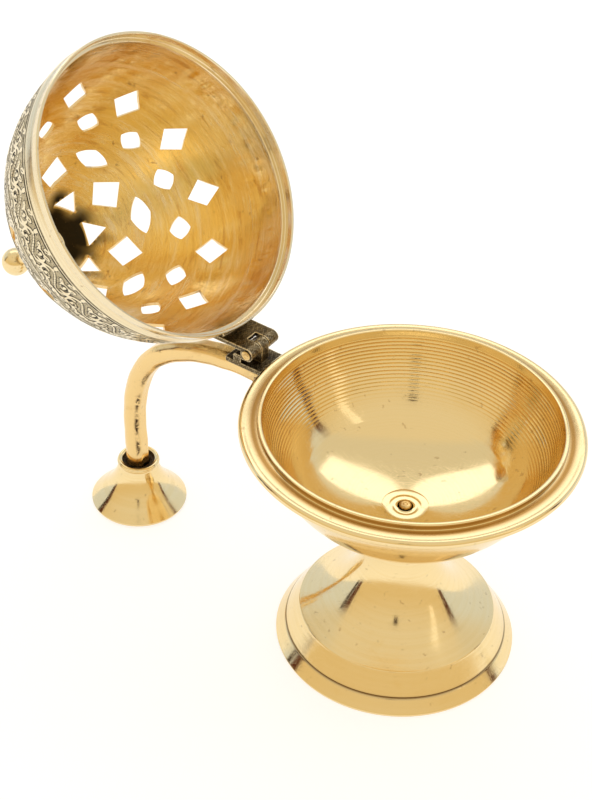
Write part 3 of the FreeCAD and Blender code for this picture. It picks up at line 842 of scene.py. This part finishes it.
def build_dome(look):
    """Dome: the wall's outline turned about the lid's axis, with the ornament pressed
    into the outer wall and shallow hammer dimples inside; then pierced and opened."""
    outline, rows, up = dome_outline()
    columns = 432
    xyz = turned(outline, columns)
    tangent = np.roll(outline, -1, 0) - np.roll(outline, 1, 0)
    tangent /= np.linalg.norm(tangent, axis=1)[:, None]
    out_r, out_z = tangent[:, 1][:, None], -tangent[:, 0][:, None]
    a = np.linspace(0, 2 * pi, columns, endpoint=False)
    wall = up >= 0
    radii, lengths, heights = outline[wall, 0], up[wall], outline[wall, 1]

    def at_height(height):
        return np.interp(height, heights, lengths)

    def radius_at(length):
        return np.maximum(np.interp(length, lengths, radii), 4.0)

    sixth = columns // 6
    marks = ornament(at_height, radius_at)
    inside = np.full(xyz.shape[:2], 1.0)
    inside[wall] = np.tile(relief(np.degrees(a[:sixth]), lengths, radii, marks), (1, 6))
    ground = np.clip((0.12 - inside) / 0.40, 0.0, 1.0)
    inner = rows == INSIDE_SLOT
    inner_r, inner_z = outline[inner, 0][:, None], outline[inner, 1][:, None]
    dimples = np.zeros_like(ground)
    blows = a * 38
    near_rim = np.exp(-((inner_z - 9.0) / 1.5) ** 2) * np.clip(np.cos(blows), 0, 1) ** 2
    higher = np.exp(-((inner_z - 14.5) / 1.6) ** 2) * np.clip(np.cos(blows + pi), 0, 1) ** 2
    dimples[inner] = near_rim + 0.7 * higher
    hand = (wobble(xyz, 17.0, 21) - 1.0) * look.unevenness * np.clip(xyz[..., 2] / 12.0, 0, 1)
    push = hand - look.engraving_depth * ground + look.dimple_depth * dimples
    xyz[..., 0] += out_r * push * np.cos(a)
    xyz[..., 1] += out_r * push * np.sin(a)
    xyz[..., 2] += out_z * push
    xyz[..., 2] += LID_EDGE
    climb = np.where(inner, outline[:, 1], up)[:, None] / 10.0
    around = np.stack([np.repeat(a[None] * 4.2, len(outline), 0), np.repeat(climb, columns, 1)], -1)
    # Painted dark reflection: a near-black patch inside the crown out to a radius, with a blotchy edge
    crown_dark_reflection = np.zeros_like(ground)
    blot = wobble(xyz, 11.0, 51)[inner] * 0.16
    crown_dark_reflection[inner] = np.clip(3.0 * (1.0 + blot - inner_r / look.dark_reflection_radius), 0, 1)
    along = np.repeat(np.cumsum(np.hypot(*np.gradient(outline, axis=0).T))[:, None] * MM, columns, 1)
    names = ("lid band brass", "lid engraved brass", "lid inside brass", "lid cut edge")
    shades = [bpy.data.materials[name] for name in names]
    values = {"relief": inside, "along": along, "crown_dark_reflection": crown_dark_reflection}
    obj = grid_object("dome_pierced", xyz, True, True, None, around, values, rows, shades)
    pierce(obj, shades[CUT_SLOT])
    mesh = obj.data
    moved(mesh, opened(read(mesh, "co").astype(float) / MM))
    mesh.update()
    return joins(obj, "lid_dome", "lid")


def pierce(obj, edge_material):
    """Cut the rings of holes: each punch is an outline, a touch uneven as if sawn by
    hand, carried through the wall along its own normal."""
    rng = np.random.default_rng(7)
    points, faces = [], []
    for radius, height, lean, count, first, corners, curved in HOLE_RINGS:
        c, s = cos(radians(lean)), sin(radians(lean))
        for index in range(count):
            own = np.array(corners) + rng.uniform(-0.28, 0.28, (len(corners), 2))
            flat = hole_outline(own, curved, 1.0, 8 if curved else 1)
            low = np.array([radius, 0, height + LID_EDGE]) - PUNCH_HALF * np.array([s, 0, c])
            ring_points = np.stack([np.zeros(len(flat)), flat[:, 0], np.zeros(len(flat))], 1)
            ring_points += flat[:, 1][:, None] * np.array([c, 0, -s]) + low
            both = np.concatenate([ring_points, ring_points + 2 * PUNCH_HALF * np.array([s, 0, c])])
            turn = radians(first + PATTERN_TURN + index * 360.0 / count)
            x, y, z = both.T
            spun = np.stack([x * cos(turn) - y * sin(turn), x * sin(turn) + y * cos(turn), z], 1)
            start, n = sum(len(p) for p in points), len(flat)
            points.append(spun)
            faces.append(list(range(start, start + n)))
            faces.append(list(range(start + 2 * n - 1, start + n - 1, -1)))
            for k in range(n):
                after = (k + 1) % n
                faces.append([start + k, start + after, start + n + after, start + n + k])
    mesh = bpy.data.meshes.new("punches")
    mesh.from_pydata(np.concatenate(points) * MM, [], faces)
    mesh.materials.append(edge_material)
    with worked(mesh) as work:
        bmesh.ops.recalc_face_normals(work, faces=work.faces)
    punches = linked("punches", mesh)
    cut = obj.modifiers.new("pierced", "BOOLEAN")
    cut.operation = "DIFFERENCE"
    cut.solver = "EXACT"
    cut.object = punches
    cut.material_mode = "TRANSFER"
    settle(obj)
    bpy.data.objects.remove(punches)
    bpy.data.meshes.remove(mesh)


def settle(obj):
    """Make what the modifiers show the piece's own mesh."""
    graph = bpy.context.evaluated_depsgraph_get()
    mesh = bpy.data.meshes.new_from_object(obj.evaluated_get(graph), depsgraph=graph)
    old = obj.data
    obj.modifiers.clear()
    obj.data = mesh
    bpy.data.meshes.remove(old)


def build_finial():
    """Finial: collar, waisted neck and ball, turned and then opened with the lid."""
    ball_low = BALL_UP - (BALL_R ** 2 - 2.0 ** 2) ** 0.5
    outline = chain(
        [(0.0, 63.0), (3.4, 63.0), (3.4, 64.8), (2.0, 65.8), (2.0, CROWN_TOP)],
        [(4.8, CROWN_TOP), (5.0, CROWN_TOP + 0.2), (5.0, CROWN_TOP + 1.0), (4.8, CROWN_TOP + 1.3)],
        smooth([(4.4, CROWN_TOP + 1.5), (3.2, CROWN_TOP + 2.6), (2.2, CROWN_TOP + 5.6), (2.0, ball_low)], 26),
        arc(0.0, BALL_UP, BALL_R, -64.0, 90.0, 44),
    )
    outline[:, 1] += LID_EDGE
    xyz = opened(turned(outline, 96))
    obj = grid_object("finial_turned", xyz, True, False, bpy.data.materials["finial brass"])
    return joins(obj, "finial", "lid")


def edge_wear_and_highlight(mesh, points, normals):
    """Edge wear and painted highlight in 0..1: how far a point stands out from the mean of its neighbours
    along its normal, averaged twice over the neighbours."""
    ends = np.empty(len(mesh.edges) * 2, np.int32)
    mesh.edges.foreach_get("vertices", ends)
    a, b = ends.reshape(-1, 2).T
    count = np.maximum(np.bincount(a, minlength=len(points)) + np.bincount(b, minlength=len(points)), 1)

    def mean(values):
        total = np.zeros_like(values)
        np.add.at(total, a, values[b])
        np.add.at(total, b, values[a])
        return total / (count if values.ndim == 1 else count[:, None])

    stands_out = ((points - mean(points)) * normals).sum(1)
    for _ in range(2):
        stands_out = 0.4 * stands_out + 0.6 * mean(stands_out)
    return np.clip(stands_out / 0.010, 0.0, 1.0)


def softened(name, node, body):
    """A worn hinge leaf: a copy of its CAD node with doubles merged, flat faces joined and
    edges rounded, its points moved along two soft fields. Sizes are in millimetres."""
    mesh = frame["nodes"][node].data.copy()
    with worked(mesh) as work:
        bmesh.ops.remove_doubles(work, verts=work.verts, dist=2 * SAME_POINT)
        bmesh.ops.dissolve_limit(work, angle_limit=radians(2), verts=work.verts, edges=work.edges)
    mesh.materials.clear()
    mesh.materials.append(bpy.data.materials["hinge brass"])
    obj = linked(name, mesh)
    bevel = obj.modifiers.new("worn edges", "BEVEL")
    bevel.width = 0.22 * MM
    bevel.segments = 3
    bevel.limit_method = "ANGLE"
    bevel.angle_limit = radians(38)
    voxel = obj.modifiers.new("cast", "REMESH")
    voxel.mode = "VOXEL"
    voxel.voxel_size = 0.14 * MM
    settle(obj)
    mesh = obj.data
    points = read(mesh, "co").astype(float) / MM
    normals = read(mesh, "normal")
    push = 0.035 * np.minimum(wobble(points, 2.6, 31) + 0.6 * wobble(points, 0.9, 32), 0.4)
    points += normals * push[:, None]
    moved(mesh, points)
    # Pale edges: edge wear and a painted highlight where the leaf stands out
    worn = mesh.attributes.new("worn", "FLOAT", "POINT")
    worn.data.foreach_set("value", edge_wear_and_highlight(mesh, points, normals).astype(np.float32))
    mesh.shade_smooth()
    mesh.update()
    return joins(obj, node, body)


def build_hinge():
    """Hinge leaves, softened copies of the CAD leaves in tarnished brass painted near black for the shade on
    them, with pale edges of wear and painted highlight.
    """
    softened("lid_leaf_worn", "hinge_lid_leaf", "lid")
    softened("bowl_leaf_worn", "hinge_bowl_leaf", "base")


def build_pin():
    """Hinge pin: shank along Y with peened, slightly dished ends."""
    outline = chain(
        [(0.0, -7.0), (0.5, -7.02), (0.75, -7.2), (1.2, -7.18), (1.5, -6.95), (1.5, -6.78), (1.1, -6.75)],
        [(1.1, 0.0), (1.1, 6.75), (1.5, 6.78), (1.5, 6.95), (1.2, 7.18), (0.75, 7.2), (0.5, 7.02)],
        [(0.0, 7.0)],
    )
    spun = turned(outline, 48)
    xyz = np.stack([spun[..., 0] + HINGE_POINT[0], spun[..., 2], spun[..., 1] + HINGE_POINT[2]], -1)
    obj = grid_object("pin_peened", xyz, True, False, bpy.data.materials["stud brass"])
    return joins(obj, "hinge_pin", "base")


# Materials of the burner --------------------------------------------------

def make_materials(look):
    """The burner's finishes: golden turned brass, cast brass, dark hinge brass and solder."""
    tarnish_group()
    turning_group()
    handling_group()
    grit_group()
    patch_group()
    gold, pale, brown = tuple(look.gold), tuple(look.pale), tuple(look.brown)
    amber = (0.83, 0.60, 0.24)
    turning = {"per_metre": look.turning_lines}
    # The bowl's band beside the lip is painted shade, dark golden-brown and a little rougher
    metal("bowl brass", gold, amber, brown, 0.07, tarnish=0.35, scale=45.0, spread=0.06, scratch=0.000005,
          lines=turning, line_depth=0.000006, brushed=0.3, marked=("ledge", (0.40, 0.22, 0.06), 0.16, 0.02))
    metal("pedestal brass", gold, amber, brown, 0.10, tarnish=0.35, scale=50.0, spread=0.06, scratch=0.000005,
          lines=turning, line_depth=0.000014, brushed=0.45, marked=("ledge", (0.20, 0.11, 0.04), 0.2, 0.02))
    metal("bell brass", gold, amber, brown, 0.10, tarnish=0.3, scale=70.0, spread=0.07, scratch=0.000005,
          lines={**turning, "axis_x": BELL_X * MM}, line_depth=0.000008, brushed=0.5)
    # Rod: its dark marked places are grime and painted shade along the inner side and at the root
    metal("rod brass", (0.84, 0.60, 0.27), (0.68, 0.42, 0.15), (0.22, 0.11, 0.04), 0.20, tarnish=0.45,
          scale=90.0, scratch=0.000008, grit=0.000012, marked=("grime_and_shade", (0.07, 0.04, 0.02), 0.3, 0.34))
    metal("brazing", (0.60, 0.38, 0.16), (0.24, 0.12, 0.05), (0.08, 0.045, 0.02), 0.36, tarnish=1.2,
          scale=260.0, spread=0.2, scratch=0.00002, grit=0.00010)
    metal("stud brass", (0.80, 0.56, 0.24), (0.42, 0.25, 0.09), (0.12, 0.07, 0.03), 0.24, tarnish=0.7,
          scale=300.0)
    # Hinge brass: tarnished, and painted near black for the shade on the leaves; its pale marked edges are
    # edge wear and painted highlight
    metal("hinge brass", (0.12, 0.085, 0.04), (0.06, 0.045, 0.028), (0.02, 0.016, 0.012), 0.34, tarnish=1.0,
          scale=210.0, spread=0.2, scratch=0.00002, grit=0.00005,
          marked=("worn", (0.82, 0.66, 0.40), -0.08, 0.25))
    metal("dark solder", (0.10, 0.075, 0.05), (0.04, 0.032, 0.025), (0.02, 0.016, 0.012), 0.5, tarnish=1.0,
          scale=500.0, spread=0.2, scratch=0.00002, grit=0.00006)
    metal("finial brass", gold, amber, brown, 0.12, scale=120.0)
    metal("lid band brass", pale, (0.76, 0.55, 0.27), brown, 0.18, tarnish=0.45, scratch=0.000008,
          lines={**turning, "attribute": "along"}, line_depth=0.000008)
    metal("lid engraved brass", pale, (0.66, 0.49, 0.24), brown, 0.22, tarnish=0.55, scratch=0.000006,
          engraved=True)
    # Lid inside: the near-black patch in the crown is a painted dark reflection, and the pale and deep
    # streaks are painted reflections
    metal("lid inside brass", (0.88, 0.67, 0.28), (0.76, 0.45, 0.11), (0.30, 0.15, 0.05), 0.12, tarnish=0.6,
          scale=40.0, lines={"per_metre": look.turning_lines * 0.4, "attribute": "along"},
          line_depth=0.000010, marked=("crown_dark_reflection", (0.030, 0.024, 0.015), 0.15, 0.12), reflection_streaked=True)
    metal("lid cut edge", (0.86, 0.62, 0.30), (0.55, 0.36, 0.15), (0.2, 0.11, 0.05), 0.28, tarnish=0.6,
          scale=200.0)


# Stage --------------------------------------------------------------------

CORNER_SIGNS = ((-1, -1), (1, -1), (1, 1), (-1, 1))
FLOOR_HALF = 9
CAMERA_AZIMUTH, CAMERA_HEIGHT, CAMERA_ROLL = radians(34.05), radians(38.3), radians(2.36)
CAMERA_BACK = 0.56516
AIM_RIGHT, AIM_UP = -33.5 * MM, 70.35 * MM


def plain(name, colour, rough, glow=0.0):
    """A matt surface with a barely visible unevenness and, for the floor, a faint glow
    that keeps shadows light."""
    material = bpy.data.materials.new(name)
    material.use_nodes = True
    tree = material.node_tree
    shader = tree.nodes["Principled BSDF"]
    shader.inputs["Roughness"].default_value = rough
    place = tree.nodes.new("ShaderNodeTexCoord").outputs["Object"]
    soft = noise(tree, place, 6.0, 3.0, 0.55)
    shader.inputs["Emission Color"].default_value = (1.0, 1.0, 1.0, 1.0)
    shader.inputs["Emission Strength"].default_value = glow
    low = tuple(value * 0.985 for value in colour)
    tree.links.new(mixed(tree, soft, low, colour), shader.inputs["Base Color"])
    return material


def lamp(name, place, aim, size, power, colour=(1, 1, 1), tall=None):
    """A soft rectangular lamp facing a point."""
    data = bpy.data.lights.new(name, "AREA")
    data.shape = "RECTANGLE"
    data.size = size
    data.size_y = tall or size
    data.energy = power
    data.color = colour
    obj = linked(name, data)
    obj.location = place
    obj.rotation_euler = (Vector(aim) - Vector(place)).to_track_quat("-Z", "Y").to_euler()


def card(name, place, aim, width, height, material):
    """A flat board facing a point, seen only in the metal's reflections."""
    turn = (Vector(aim) - Vector(place)).to_track_quat("-Z", "Y").to_matrix()
    points = [Vector(place) + turn @ Vector((x * width / 2, y * height / 2, 0)) for x, y in CORNER_SIGNS]
    mesh = bpy.data.meshes.new(name)
    mesh.from_pydata(points, [], [(0, 1, 2, 3)])
    mesh.materials.append(material)
    obj = linked(name, mesh)
    obj.visible_camera = False
    obj.visible_diffuse = False
    obj.visible_shadow = False


def build_camera():
    """Camera aimed from the front, a little to the right and above, with a small roll."""
    azimuth, height, roll = CAMERA_AZIMUTH, CAMERA_HEIGHT, CAMERA_ROLL
    back = Vector((sin(azimuth) * cos(height), -cos(azimuth) * cos(height), sin(height)))
    right = (-back).cross(Vector((0, 0, 1))).normalized()
    up = right.cross(-back)
    right_rolled = right * cos(roll) + up * sin(roll)
    up_rolled = -right * sin(roll) + up * cos(roll)
    target = right * AIM_RIGHT + up * AIM_UP
    turn = Matrix((right_rolled, up_rolled, back)).transposed().to_4x4()
    data = bpy.data.cameras.new("camera")
    data.sensor_width = 36.0
    data.lens = 81.0
    data.clip_start = 0.01
    obj = linked("camera", data)
    obj.matrix_world = Matrix.Translation(target + back * CAMERA_BACK) @ turn
    bpy.context.scene.camera = obj


def build_room(strength):
    """White room: warm on the viewer's side, cool white behind, with a narrow dark gap
    where the two halves meet, low down at either side."""
    world = bpy.data.worlds.new("white room")
    world.use_nodes = True
    tree = world.node_tree
    towards = tree.nodes.new("ShaderNodeTexCoord").outputs["Generated"]
    facing = tree.nodes.new("ShaderNodeVectorMath")
    facing.operation = "DOT_PRODUCT"
    facing.inputs[1].default_value = (0.56, -0.829, 0.0)
    tree.links.new(towards, facing.inputs[0])
    side = facing.outputs["Value"]
    split = tree.nodes.new("ShaderNodeSeparateXYZ")
    tree.links.new(towards, split.inputs[0])
    rise = split.outputs[2]
    warm = mixed(tree, ramp(tree, rise, 0.10, 0.80), (0.92, 0.74, 0.44), (0.97, 0.88, 0.70))
    cool = mixed(tree, ramp(tree, rise, 0.30, 0.62), (0.86, 0.94, 1.06), (0.88, 0.84, 0.74))
    shade = mixed(tree, ramp(tree, side, -0.14, 0.05), cool, warm)
    gap = calc(tree, "ABSOLUTE", calc(tree, "ADD", side, 0.06))
    gap = calc(tree, "MULTIPLY", ramp(tree, gap, 0.075, 0.045), ramp(tree, rise, 0.62, 0.38))
    shade = mixed(tree, gap, shade, (0.13, 0.045, 0.025))
    seen = tree.nodes.new("ShaderNodeLightPath").outputs["Is Camera Ray"]
    shade = mixed(tree, seen, shade, (1.0, 1.0, 1.0))
    background = tree.nodes["Background"]
    tree.links.new(shade, background.inputs["Color"])
    background.inputs["Strength"].default_value = strength
    bpy.context.scene.world = world


def build_stage(look):
    """Pale floor under the burner, a white room, soft lamps and dark boards."""
    mesh = bpy.data.meshes.new("floor")
    mesh.from_pydata([(x * FLOOR_HALF, y * FLOOR_HALF, 0) for x, y in CORNER_SIGNS], [], [(0, 1, 2, 3)])
    mesh.materials.append(plain("floor white", (0.50, 0.50, 0.50), 0.8, 0.66))
    floor = linked("floor", mesh)
    build_room(look.room_light)
    lamp("back softbox", (-0.43, 0.64, 0.99), (0, 0, 0.06), 1.9, look.lamp_power, (0.94, 0.98, 1.10), 0.46)
    lamp("right softbox", (1.0, 0.15, 0.75), (0, 0, 0.05), 0.14, look.lamp_power * 0.05, tall=0.8)
    dark = plain("dark board", (0.05, 0.03, 0.02), 0.9)
    card("left board", (-1.2, -0.55, 0.35), (0, 0, 0.05), 0.10, 0.7, dark)
    card("viewer board", (0.62, -1.02, 0.95), (0, 0, 0.05), 0.16, 0.22, dark)
    build_camera()
    bpy.context.scene.view_settings.view_transform = "Standard"


# Add-on -------------------------------------------------------------------

class BurnerLook(bpy.types.PropertyGroup):
    """Sizes and colours of the burner that a user may change."""
    gold: FloatVectorProperty(
        name="Golden brass", description="Colour of the turned brass",
        subtype="COLOR", size=3, min=0.0, max=1.0, default=(0.87, 0.69, 0.38))
    pale: FloatVectorProperty(
        name="Pale brass", description="Colour of the lid's outside",
        subtype="COLOR", size=3, min=0.0, max=1.0, default=(0.86, 0.74, 0.50))
    brown: FloatVectorProperty(
        name="Brown spots", description="Colour of the tarnish specks",
        subtype="COLOR", size=3, min=0.0, max=1.0, default=(0.30, 0.15, 0.05))
    groove_pitch: FloatProperty(
        name="Groove pitch", description="Distance between the bowl's turned grooves, in mm",
        default=1.15, min=0.4, max=4.0)
    groove_depth: FloatProperty(
        name="Groove depth", description="Depth of the bowl's turned grooves, in mm",
        default=0.16, min=0.0, max=0.5)
    turning_lines: FloatProperty(
        name="Turning lines", description="Fine lathe lines in each metre",
        default=2600.0, min=100.0, max=9000.0)
    engraving_depth: FloatProperty(
        name="Engraving depth", description="Depth of the lid's engraved lines, in mm",
        default=0.22, min=0.0, max=0.6)
    dimple_depth: FloatProperty(
        name="Dimple depth", description="Depth of the dimples inside the lid, in mm",
        default=0.18, min=0.0, max=0.5)
    # Size of the painted dark reflection inside the crown
    dark_reflection_radius: FloatProperty(
        name="Dark reflection radius", description="Size of the painted dark reflection inside the crown, in mm",
        default=15.0, min=1.0, max=40.0)
    unevenness: FloatProperty(
        name="Unevenness", description="How far hand-work has moved the surface, in mm",
        default=0.06, min=0.0, max=0.4)
    room_light: FloatProperty(
        name="Room light", description="Brightness of the white surroundings",
        default=0.92, min=0.0, max=5.0)
    lamp_power: FloatProperty(
        name="Lamp power", description="Power of the overhead lamp",
        default=2.6, unit="POWER", min=0.0, max=500.0)


class BURNER_OT_finishes(bpy.types.Operator):
    """Make the brass, solder and tarnish materials."""
    bl_idname = "burner.finishes"
    bl_label = "Make the finishes"

    def execute(self, context):
        make_materials(context.scene.burner)
        return {"FINISHED"}


class BURNER_OT_bowl(bpy.types.Operator):
    """Turn the bowl with its grooved inner wall."""
    bl_idname = "burner.bowl"
    bl_label = "Turn the bowl"

    def execute(self, context):
        build_bowl(context.scene.burner)
        return {"FINISHED"}


class BURNER_OT_pedestal(bpy.types.Operator):
    """Turn the flared foot under the bowl."""
    bl_idname = "burner.pedestal"
    bl_label = "Turn the pedestal"

    def execute(self, context):
        build_foot()
        return {"FINISHED"}


class BURNER_OT_stud(bpy.types.Operator):
    """Set the stud that holds the bowl to the pedestal."""
    bl_idname = "burner.stud"
    bl_label = "Set the centre stud"

    def execute(self, context):
        build_stud()
        return {"FINISHED"}


class BURNER_OT_handle(bpy.types.Operator):
    """Sweep the curved handle rod."""
    bl_idname = "burner.handle"
    bl_label = "File the handle"

    def execute(self, context):
        build_handle()
        return {"FINISHED"}


class BURNER_OT_brazing(bpy.types.Operator):
    """Shape the lump of brazing at the root of the handle."""
    bl_idname = "burner.brazing"
    bl_label = "Braze the handle"

    def execute(self, context):
        build_brazing()
        return {"FINISHED"}


class BURNER_OT_bell(bpy.types.Operator):
    """Turn the bell under the end of the handle."""
    bl_idname = "burner.bell"
    bl_label = "Turn the bell foot"

    def execute(self, context):
        build_bell()
        return {"FINISHED"}


class BURNER_OT_solder(bpy.types.Operator):
    """Fill the gap between the rod and its bell."""
    bl_idname = "burner.solder"
    bl_label = "Fill the bell socket"

    def execute(self, context):
        build_packing()
        return {"FINISHED"}


class BURNER_OT_dome(bpy.types.Operator):
    """Turn, engrave and pierce the dome of the lid."""
    bl_idname = "burner.dome"
    bl_label = "Engrave and pierce the dome"

    def execute(self, context):
        build_dome(context.scene.burner)
        return {"FINISHED"}


class BURNER_OT_finial(bpy.types.Operator):
    """Turn the ball finial on top of the lid."""
    bl_idname = "burner.finial"
    bl_label = "Turn the finial"

    def execute(self, context):
        build_finial()
        return {"FINISHED"}


class BURNER_OT_hinge(bpy.types.Operator):
    """Soften the two rolled hinge leaves."""
    bl_idname = "burner.hinge"
    bl_label = "Wear the hinge leaves"

    def execute(self, context):
        build_hinge()
        return {"FINISHED"}


class BURNER_OT_pin(bpy.types.Operator):
    """Turn the pin with its two peened ends."""
    bl_idname = "burner.pin"
    bl_label = "Peen the hinge pin"

    def execute(self, context):
        build_pin()
        return {"FINISHED"}


class BURNER_OT_stage(bpy.types.Operator):
    """Set the floor, lamps, boards and camera."""
    bl_idname = "burner.stage"
    bl_label = "Set the stage"

    def execute(self, context):
        build_stage(context.scene.burner)
        return {"FINISHED"}


OPERATORS = (
    BURNER_OT_finishes,
    BURNER_OT_bowl,
    BURNER_OT_pedestal,
    BURNER_OT_stud,
    BURNER_OT_handle,
    BURNER_OT_brazing,
    BURNER_OT_bell,
    BURNER_OT_solder,
    BURNER_OT_dome,
    BURNER_OT_finial,
    BURNER_OT_hinge,
    BURNER_OT_pin,
    BURNER_OT_stage,
)


class BURNER_PT_panel(bpy.types.Panel):
    """The burner's settings and its steps, in the order that they are run."""
    bl_idname = "BURNER_PT_panel"
    bl_label = "Brass incense burner"
    bl_space_type = "VIEW_3D"
    bl_region_type = "UI"
    bl_category = "Burner"

    def draw(self, context):
        look = context.scene.burner
        for name in look.__annotations__:
            self.layout.prop(look, name)
        for operator in OPERATORS:
            self.layout.operator(operator.bl_idname)


def register():
    for entry in (BurnerLook, *OPERATORS, BURNER_PT_panel):
        bpy.utils.register_class(entry)
    bpy.types.Scene.burner = PointerProperty(type=BurnerLook)


def unregister():
    del bpy.types.Scene.burner
    for entry in reversed((BurnerLook, *OPERATORS, BURNER_PT_panel)):
        bpy.utils.unregister_class(entry)


def main():
    register()
    bpy.ops.burner.finishes()
    bpy.ops.burner.bowl()
    bpy.ops.burner.pedestal()
    bpy.ops.burner.stud()
    bpy.ops.burner.handle()
    bpy.ops.burner.brazing()
    bpy.ops.burner.bell()
    bpy.ops.burner.solder()
    bpy.ops.burner.dome()
    bpy.ops.burner.finial()
    bpy.ops.burner.hinge()
    bpy.ops.burner.pin()
    bpy.ops.burner.stage()


if __name__ == "__main__":
    main()
